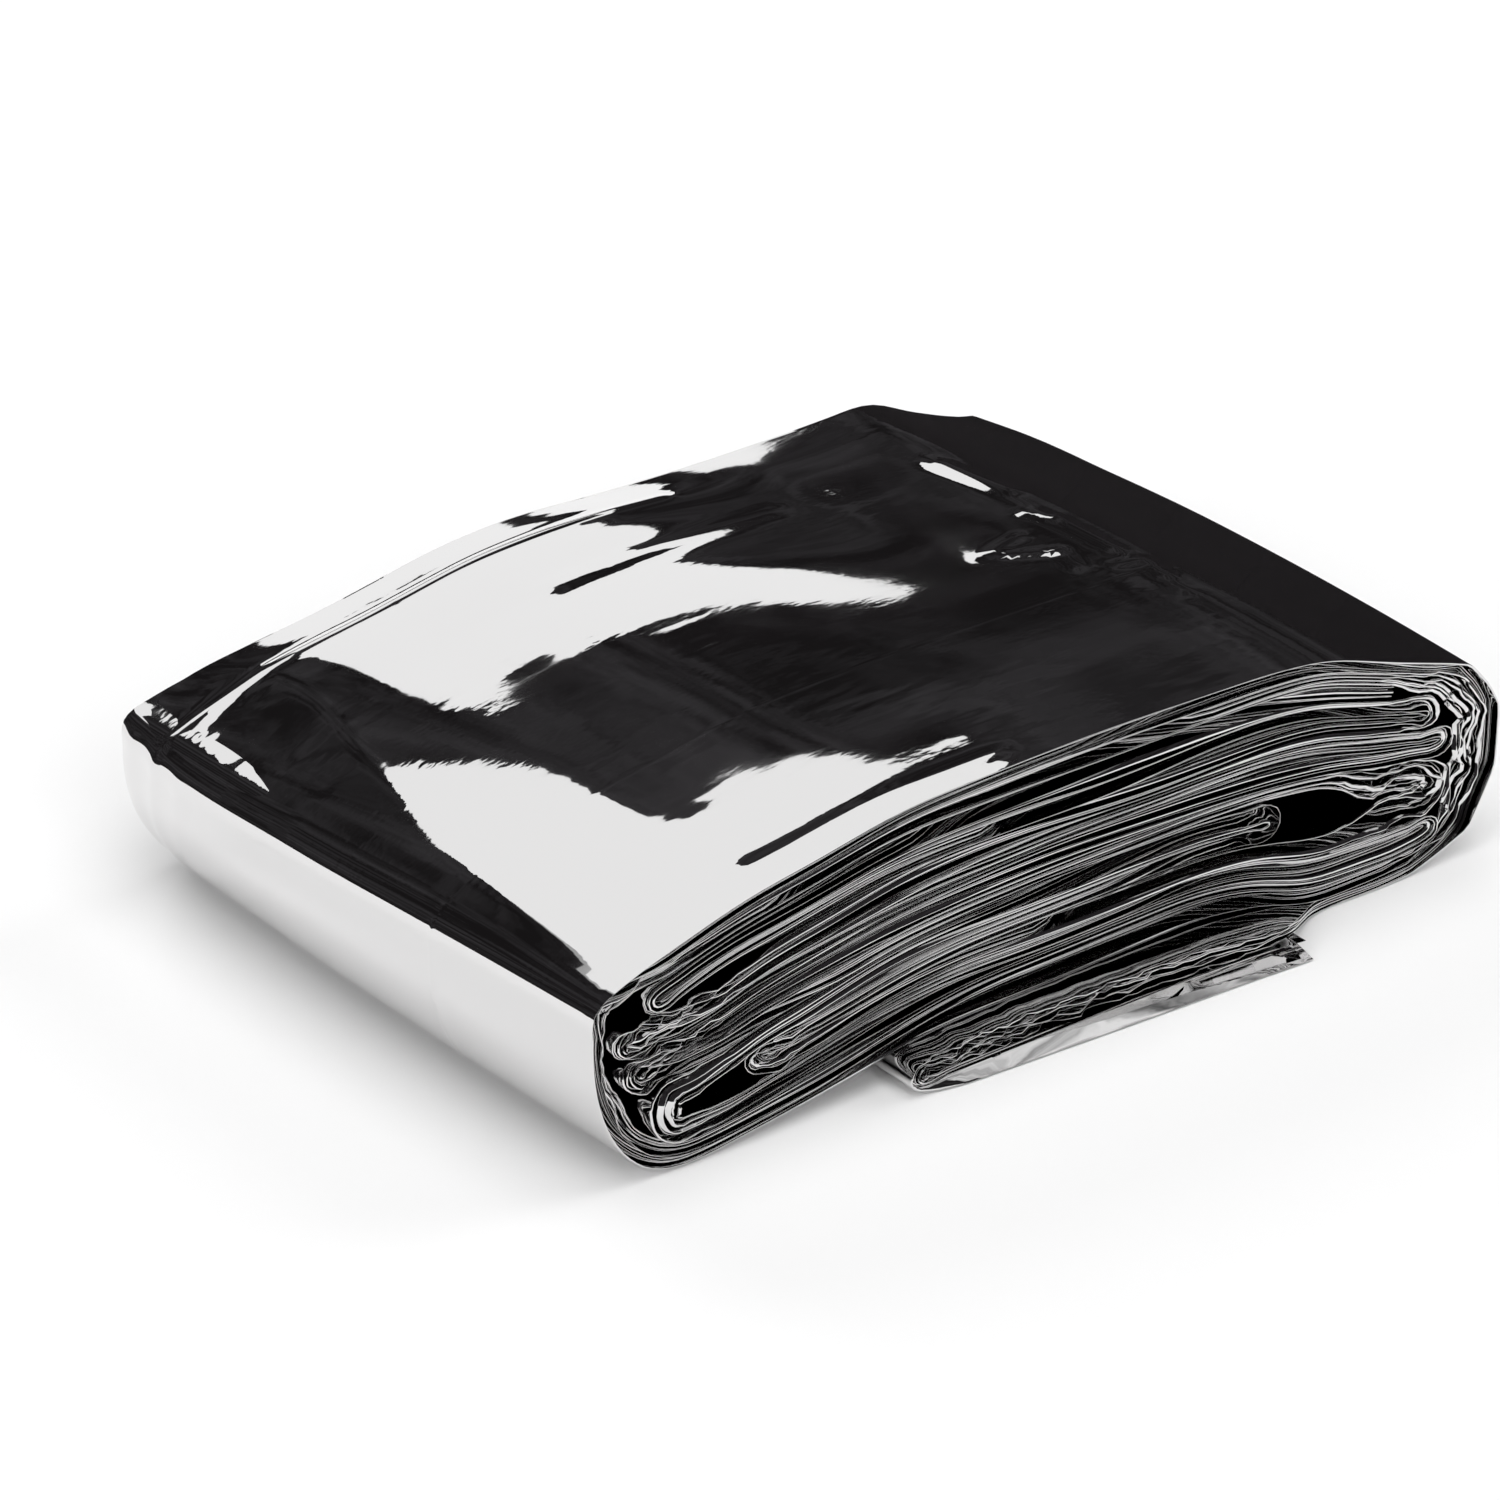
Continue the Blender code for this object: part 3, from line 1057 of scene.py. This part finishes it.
def film_mesh():
    """The film as one mesh, with its flat coordinates and its crisp folds."""
    points, skin, (down, skin_down), across, (first, last), crisp = film_points()
    rows, columns = points.shape[:2]
    skin_rows, skin_columns = skin.shape[0], skin.shape[1] - 2
    pleat_count = rows * columns
    index = np.arange(pleat_count).reshape(rows, columns)
    skin_index = pleat_count + np.arange(skin_rows * skin_columns).reshape(skin_rows, -1)

    mesh = bpy.data.meshes.new("blanket_film")
    places = np.concatenate([points.reshape(-1, 3), skin[:, 1:-1].reshape(-1, 3)])
    mesh.from_pydata(places.tolist(), [], film_faces(index, skin_index, first, last))

    edges = np.empty(len(mesh.edges) * 2, dtype=np.int32)
    mesh.edges.foreach_get("vertices", edges)
    lower, upper = np.sort(edges.reshape(-1, 2), axis=1).T
    lengthwise = (upper - lower == columns) & (upper < pleat_count)
    sharp = mesh.attributes.new("sharp_edge", "BOOLEAN", "EDGE")
    sharp.data.foreach_set("value", lengthwise & np.isin(lower % columns, crisp))

    skin_across = np.linspace(across[0], across[1], skin.shape[1])[1:-1]
    flat = np.concatenate([flat_places(down, across), flat_places(skin_down, skin_across)])
    loops = np.empty(len(mesh.loops), dtype=np.int32)
    mesh.loops.foreach_get("vertex_index", loops)
    mesh.uv_layers.new(name="flat").data.foreach_set("uv", flat[loops].ravel())
    mesh.shade_smooth()
    return mesh


# ---------------------------------------------------------------- materials


FILM_COLOUR = (0.755, 0.750, 0.750)
FLOOR_COLOUR = (0.86, 0.86, 0.86)
FLOOR_ROUGHNESS = 0.9
SCREEN_COLOUR = (0.016, 0.0145, 0.0155)
SCREEN_ROUGHNESS = 1.0

# Ripples in the film, longest along its strip. Columns: features per metre
# along x, y and z, height in metres, and the features per metre and the range
# of the broad patches in which they are strong.
RIPPLES = (
    ((130.0, 460.0, 300.0), 0.000042, 55.0, (0.48, 0.68)),
    ((900.0, 1700.0, 1300.0), 0.000003, 90.0, (0.40, 0.62)),
)
RIPPLE_DETAIL = 0.6
PATCH_DETAIL = 2.0
RIPPLE_STRENGTH = (0.15, 1.0)

# Haze on the film: features per metre, their detail and range, and the
# roughness between which they vary
HAZE_FEATURES = 70.0
HAZE_DETAIL = 4.0
HAZE_RANGE = (0.35, 0.70)
HAZE_ROUGHNESS = (0.015, 0.045)


def new_material(name):
    """A material of that name, its node tree and its shader."""
    material = bpy.data.materials.new(name)
    material.use_nodes = True
    return material, material.node_tree, material.node_tree.nodes["Principled BSDF"]


def matte_material(name, colour, roughness):
    """A plain material without gloss."""
    material, _, shader = new_material(name)
    shader.inputs["Base Color"].default_value = (*colour, 1.0)
    shader.inputs["Roughness"].default_value = roughness
    shader.inputs["Specular IOR Level"].default_value = 0.0
    return material


def noise(tree, where, features, detail):
    """A noise texture with so many features per unit of the place it is given."""
    texture = tree.nodes.new("ShaderNodeTexNoise")
    texture.inputs["Scale"].default_value = features
    texture.inputs["Detail"].default_value = detail
    tree.links.new(where, texture.inputs["Vector"])
    return texture


def mapped(tree, value, span, result):
    """A value whose span is brought to the span of the result."""
    change = tree.nodes.new("ShaderNodeMapRange")
    change.inputs["From Min"].default_value = span[0]
    change.inputs["From Max"].default_value = span[1]
    change.inputs["To Min"].default_value = result[0]
    change.inputs["To Max"].default_value = result[1]
    tree.links.new(value, change.inputs["Value"])
    return change.outputs["Result"]


def shaded(tree, value, stops):
    """A colour that goes with a value. Columns of the stops: value, colour."""
    ramp = tree.nodes.new("ShaderNodeValToRGB")
    for element, (position, colour) in zip(ramp.color_ramp.elements, stops):
        element.position = position
        element.color = (*colour, 1.0)
    tree.links.new(value, ramp.inputs["Fac"])
    return ramp.outputs["Color"]


def film_material():
    """Silver film: a mirror with fine ripples and a little haze."""
    material, tree, shader = new_material("Silver film")
    shader.inputs["Base Color"].default_value = (*FILM_COLOUR, 1.0)
    shader.inputs["Metallic"].default_value = 1.0
    nodes, links = tree.nodes, tree.links
    place_on_film = nodes.new("ShaderNodeTexCoord").outputs["Object"]

    normal = None
    for features, height, patches, strong in RIPPLES:
        stretch = nodes.new("ShaderNodeMapping")
        stretch.inputs["Scale"].default_value = features
        links.new(place_on_film, stretch.inputs["Vector"])
        wrinkles = noise(tree, stretch.outputs["Vector"], 1.0, RIPPLE_DETAIL)
        where = noise(tree, place_on_film, patches, PATCH_DETAIL)
        strength = mapped(tree, where.outputs["Fac"], strong, RIPPLE_STRENGTH)
        ripple = nodes.new("ShaderNodeBump")
        ripple.inputs["Distance"].default_value = height
        links.new(strength, ripple.inputs["Strength"])
        links.new(wrinkles.outputs["Fac"], ripple.inputs["Height"])
        if normal is not None:
            links.new(normal, ripple.inputs["Normal"])
        normal = ripple.outputs["Normal"]
    links.new(normal, shader.inputs["Normal"])

    clouds = noise(tree, place_on_film, HAZE_FEATURES, HAZE_DETAIL)
    roughness = mapped(tree, clouds.outputs["Fac"], HAZE_RANGE, HAZE_ROUGHNESS)
    links.new(roughness, shader.inputs["Roughness"])
    return material


def new_piece(name, mesh, material):
    """An object of the scene with that mesh and material."""
    mesh.materials.append(material)
    piece = bpy.data.objects.new(name, mesh)
    bpy.context.scene.collection.objects.link(piece)
    return piece


def build_film():
    """The whole folded film, in place of the plain strip."""
    film = new_piece("blanket_film", film_mesh(), film_material())
    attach(film, "root")
    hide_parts("blanket")
    return film


# -------------------------------------------------------------------- stage

# The floor's side, and how far it lies below the film's lowest points
FLOOR_SIZE = 3.0
FLOOR_DROP = 0.0002

CAMERA_AZIMUTH = -38.1
CAMERA_ELEVATION = 28.8
CAMERA_DISTANCE = 1.312
CAMERA_LOOKS_AT = (-0.0058, 0.0052, 0.0150)
CAMERA_LENS = 288.0
CAMERA_SENSOR = 36.0

# Soft panels that the film mirrors, as corners seen from the bundle.
# Columns: azimuth, elevation, in degrees; azimuth 0 is +Y and 90 is +X.
PANELS = {
    "high": (
        (-5.5, 41.0), (-1.5, 40.0), (6.0, 39.0), (13.0, 38.0), (17.0, 38.0), (22.5, 37.0),
        (24.5, 40.0), (27.0, 39.5), (31.5, 37.0), (35.0, 35.0), (40.0, 32.0), (41.5, 33.5),
        (45.0, 41.0), (44.5, 60.0), (18.0, 62.0), (-3.0, 56.0), (-4.5, 47.0),
    ),
    "low": (
        (23.0, 32.0), (25.0, 32.0), (29.0, 29.0), (34.0, 25.0), (36.5, 23.0), (39.0, 21.5),
        (39.0, 20.5), (37.5, 18.0), (34.0, 15.5), (28.0, 14.0), (23.0, 14.0), (21.5, 18.0),
    ),
    "behind": ((22.0, 9.0), (34.0, 9.0), (34.5, 3.5), (22.0, 3.5)),
    "rim": ((-4.5, 44.0), (-4.5, 47.0), (-3.0, 56.0), (-8.0, 54.0)),
    "streaked": (
        (46.0, 44.0), (75.0, 49.0), (104.0, 46.0), (125.0, 40.0), (141.0, 34.0), (148.0, 40.0),
        (138.0, 56.0), (104.0, 68.0), (70.0, 68.0), (46.0, 62.0),
    ),
}
PANEL_DISTANCE = 1.6
PANEL_BRIGHTNESS = {"high": 1.03, "low": 1.05, "behind": 1.05, "rim": 0.42, "streaked": 1.0}
STREAKS_PER_METRE = 4.5
STREAK_DETAIL = 4.0
STREAK_STOPS = (
    (0.36, (0.04, 0.04, 0.04)),
    (0.66, (0.95, 0.95, 0.95)),
)

# Low dark screen on the floor, which the right-hand slope mirrors: its first
# and last azimuth in degrees, distance and height in metres.
SCREEN = (37.0, 86.0, 0.125, 0.034)
SCREEN_COLUMNS = 9

# Dark clouds all round, which the film mirrors faintly
CLOUD_FEATURES = 13.0
CLOUD_DETAIL = 7.0
CLOUD_ROUGHNESS = 0.62
CLOUD_STOPS = (
    (0.40, (0.0105, 0.0095, 0.0100)),
    (0.72, (0.046, 0.044, 0.047)),
)

# Columns: name, azimuth, elevation, spread in degrees, strength.
SOFT_LIGHTS = (
    ("light_above", 218.0, 80.0, 60.0, 1.85),
    ("light_left", 262.0, 28.0, 40.0, 1.15),
    ("light_front", 190.0, 28.0, 40.0, 1.10),
    ("light_right", 100.0, 28.0, 40.0, 1.00),
    ("light_back", 10.0, 28.0, 40.0, 1.00),
)


def build_floor():
    """A plain pale floor."""
    mesh = bpy.data.meshes.new("studio_floor")
    half = FLOOR_SIZE / 2.0
    corners = [(-half, -half, 0.0), (half, -half, 0.0), (half, half, 0.0), (-half, half, 0.0)]
    mesh.from_pydata(corners, [], [(0, 1, 2, 3)])
    material = matte_material("Pale studio floor", FLOOR_COLOUR, FLOOR_ROUGHNESS)
    floor = new_piece("studio_floor", mesh, material)
    floor.location.z = -FLOOR_DROP


def direction(azimuth, elevation):
    """Unit vector; azimuth 0 is +Y and 90 is +X."""
    turn, rise = math.radians(azimuth), math.radians(elevation)
    return mathutils.Vector(
        (math.sin(turn) * math.cos(rise), math.cos(turn) * math.cos(rise), math.sin(rise))
    )


def only_mirrored(piece):
    """Keep a piece out of everything but reflections."""
    piece.visible_camera = False
    piece.visible_diffuse = False
    piece.visible_shadow = False


def panel_material(name):
    """An evenly glowing panel, or one with bright and dark streaks."""
    material = bpy.data.materials.new("Soft panel " + name)
    material.use_nodes = True
    tree = material.node_tree
    tree.nodes.clear()
    glow = tree.nodes.new("ShaderNodeEmission")
    glow.inputs["Strength"].default_value = PANEL_BRIGHTNESS[name]
    if name == "streaked":
        where = tree.nodes.new("ShaderNodeTexCoord").outputs["Object"]
        streaks = noise(tree, where, STREAKS_PER_METRE, STREAK_DETAIL)
        colour = shaded(tree, streaks.outputs["Fac"], STREAK_STOPS)
        tree.links.new(colour, glow.inputs["Color"])
    output = tree.nodes.new("ShaderNodeOutputMaterial")
    tree.links.new(glow.outputs[0], output.inputs["Surface"])
    return material


def build_panels():
    """The soft panels round the bundle, which only the film sees."""
    for name, corners in PANELS.items():
        points = [direction(*corner) * PANEL_DISTANCE for corner in corners]
        mesh = bpy.data.meshes.new("panel_" + name)
        mesh.from_pydata(points, [], [tuple(range(len(points)))])
        panel = new_piece("panel_" + name, mesh, panel_material(name))
        only_mirrored(panel)


def build_screen():
    """A dark screen, standing on the floor, that only the film sees."""
    first, last, distance, height = SCREEN
    azimuths = np.linspace(first, last, SCREEN_COLUMNS)
    foot = [direction(azimuth, 0.0) * distance for azimuth in azimuths]
    points = foot + [point + mathutils.Vector((0.0, 0.0, height)) for point in foot]
    count = len(foot)
    faces = [(k, k + 1, k + 1 + count, k + count) for k in range(count - 1)]
    mesh = bpy.data.meshes.new("dark_screen")
    mesh.from_pydata(points, [], faces)
    material = matte_material("Dark screen", SCREEN_COLOUR, SCREEN_ROUGHNESS)
    screen = new_piece("dark_screen", mesh, material)
    only_mirrored(screen)


def build_soft_lights():
    """Soft light for the floor from above and from all round, not mirrored by the film."""
    for name, azimuth, elevation, spread, strength in SOFT_LIGHTS:
        light = bpy.data.lights.new(name, "SUN")
        light.angle = math.radians(spread)
        light.energy = strength
        lamp = bpy.data.objects.new(name, light)
        lamp.rotation_euler = direction(azimuth, elevation).to_track_quat("Z", "Y").to_euler()
        lamp.visible_glossy = False
        bpy.context.scene.collection.objects.link(lamp)


def build_world():
    """Dark, faintly clouded surroundings."""
    world = bpy.data.worlds.new("studio")
    world.use_nodes = True
    tree = world.node_tree
    background = tree.nodes["Background"]
    toward = tree.nodes.new("ShaderNodeTexCoord").outputs["Generated"]
    clouds = noise(tree, toward, CLOUD_FEATURES, CLOUD_DETAIL)
    clouds.inputs["Roughness"].default_value = CLOUD_ROUGHNESS
    colour = shaded(tree, clouds.outputs["Fac"], CLOUD_STOPS)
    tree.links.new(colour, background.inputs["Color"])
    background.inputs["Strength"].default_value = 1.0
    bpy.context.scene.world = world


def build_camera():
    """A camera that looks down on the bundle from its front left, from afar."""
    data = bpy.data.cameras.new("camera")
    data.lens = CAMERA_LENS
    data.sensor_width = CAMERA_SENSOR
    camera = bpy.data.objects.new("camera", data)
    target = mathutils.Vector(CAMERA_LOOKS_AT)
    back = direction(180.0 - CAMERA_AZIMUTH, CAMERA_ELEVATION)
    camera.location = target + back * CAMERA_DISTANCE
    camera.rotation_euler = back.to_track_quat("Z", "Y").to_euler()
    bpy.context.scene.collection.objects.link(camera)
    bpy.context.scene.camera = camera


def build_stage():
    """Floor, surroundings, lights, panels, screen and camera."""
    bpy.context.scene.view_settings.view_transform = "Standard"
    build_floor()
    build_world()
    build_soft_lights()
    build_panels()
    build_screen()
    build_camera()


build_stage()
build_film()
